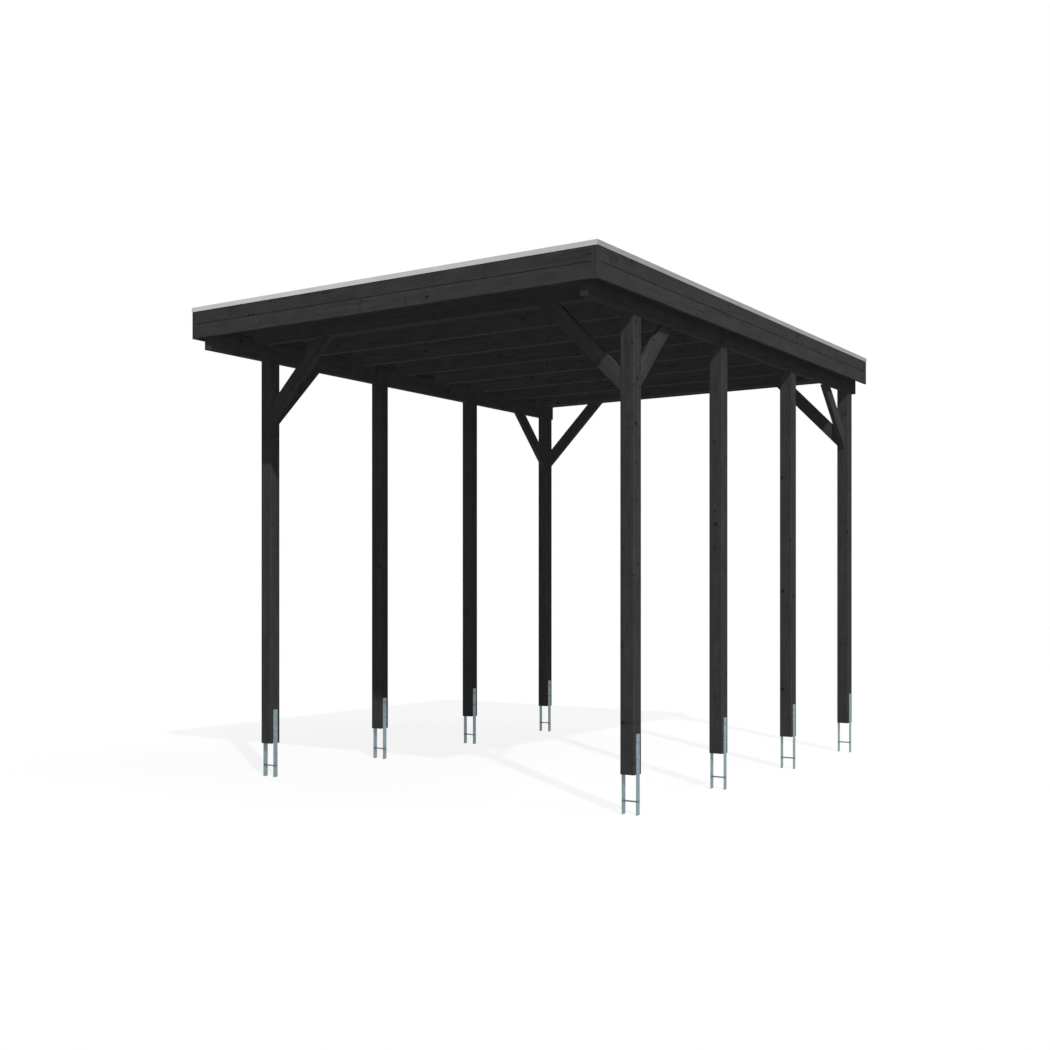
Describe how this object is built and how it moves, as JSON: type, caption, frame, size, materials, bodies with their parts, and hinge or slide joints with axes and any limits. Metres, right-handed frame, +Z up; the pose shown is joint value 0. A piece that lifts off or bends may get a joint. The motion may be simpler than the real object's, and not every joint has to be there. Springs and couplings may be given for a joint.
{
  "type": "carport",
  "caption": "Tall open timber carport: flat roof with boarded fascia and metal edge trim on square posts with diagonal corner braces and H-shaped steel post anchors.",
  "frame": {"origin": "under the middle of the roof outline, level with the feet of the post anchors", "axes": "+Z up; -Y towards the drive-in end with the long overhang; +X to the right seen from there"},
  "size_m": [3.97, 5.55, 4.055],
  "materials": {
    "stained_timber": "anthracite stained spruce, faint grain and knots",
    "galvanised_steel": "hot-dip galvanised, dull",
    "edge_trim": "light grey, matt",
    "roof_rubber": "matt black roofing sheet"
  },
  "bodies": {
    "root": {"anchor_left_1": "galvanised_steel", "anchor_left_2": "galvanised_steel", "anchor_left_3": "galvanised_steel", "anchor_left_4": "galvanised_steel", "anchor_right_1": "galvanised_steel", "anchor_right_2": "galvanised_steel", "anchor_right_3": "galvanised_steel", "anchor_right_4": "galvanised_steel", "corner_front_left": "stained_timber", "corner_front_right": "stained_timber", "cross_brace_back_left": "stained_timber", "cross_brace_back_right": "stained_timber", "cross_brace_front_left": "stained_timber", "cross_brace_front_right": "stained_timber", "fascia_back_upper": "stained_timber", "fascia_front_lower": "stained_timber", "fascia_front_upper": "stained_timber", "fascia_left_lower": "stained_timber", "fascia_left_upper": "stained_timber", "fascia_right_lower": "stained_timber", "fascia_right_upper": "stained_timber", "post_left_1": "stained_timber", "post_left_2": "stained_timber", "post_left_3": "stained_timber", "post_left_4": "stained_timber", "post_right_1": "stained_timber", "post_right_2": "stained_timber", "post_right_3": "stained_timber", "post_right_4": "stained_timber", "purlin_left": "stained_timber", "purlin_right": "stained_timber", "rafter_1": "stained_timber", "rafter_2": "stained_timber", "rafter_3": "stained_timber", "rafter_4": "stained_timber", "rafter_5": "stained_timber", "rafter_6": "stained_timber", "rafter_7": "stained_timber", "rafter_8": "stained_timber", "rim_joist_back": "stained_timber", "rim_joist_front": "stained_timber", "roof_deck": "stained_timber", "roof_membrane": "roof_rubber", "side_brace_back_left": "stained_timber", "side_brace_back_right": "stained_timber", "side_brace_front_left": "stained_timber", "side_brace_front_right": "stained_timber", "trim_back": "edge_trim", "trim_front": "edge_trim", "trim_left": "edge_trim", "trim_right": "edge_trim"}
  },
  "joints": []
}
